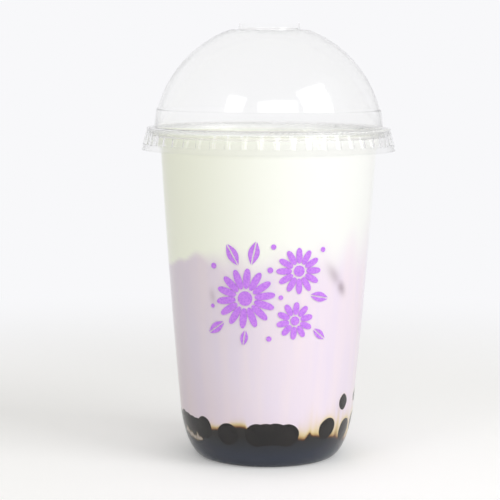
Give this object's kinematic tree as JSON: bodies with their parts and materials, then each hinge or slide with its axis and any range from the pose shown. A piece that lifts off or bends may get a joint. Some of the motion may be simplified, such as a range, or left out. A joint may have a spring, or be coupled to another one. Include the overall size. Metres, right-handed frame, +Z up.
{
  "type": "boba milkshake",
  "caption": "Layered cream and taro milk drink with tapioca pearls in a clear tapered cup, under a clear dome lid with a fluted skirt and a round straw hole.",
  "frame": {"origin": "middle of the ring that the cup stands on, at floor level", "axes": "+Z up along the cup's axis, -Y towards the printed front, +X to the right of the front"},
  "size_m": [0.0991, 0.099, 0.1698],
  "materials": {
    "clear_cup": "clear glossy thermoformed plastic",
    "clear_lid": "clear glossy thermoformed plastic",
    "cream": "smooth opaque milk foam, very pale green",
    "taro_milk": "smooth opaque pale lilac milk",
    "tapioca": "dark brown glossy pearls in syrup"
  },
  "bodies": {
    "root": {"cup": "clear_cup", "dome_lid": "clear_lid", "cream_layer": "cream", "taro_milk_layer": "taro_milk", "pearl_bed": "tapioca", "loose_pearl_1": "tapioca", "loose_pearl_2": "tapioca", "loose_pearl_3": "tapioca", "loose_pearl_4": "tapioca", "loose_pearl_5": "tapioca"}
  },
  "joints": []
}
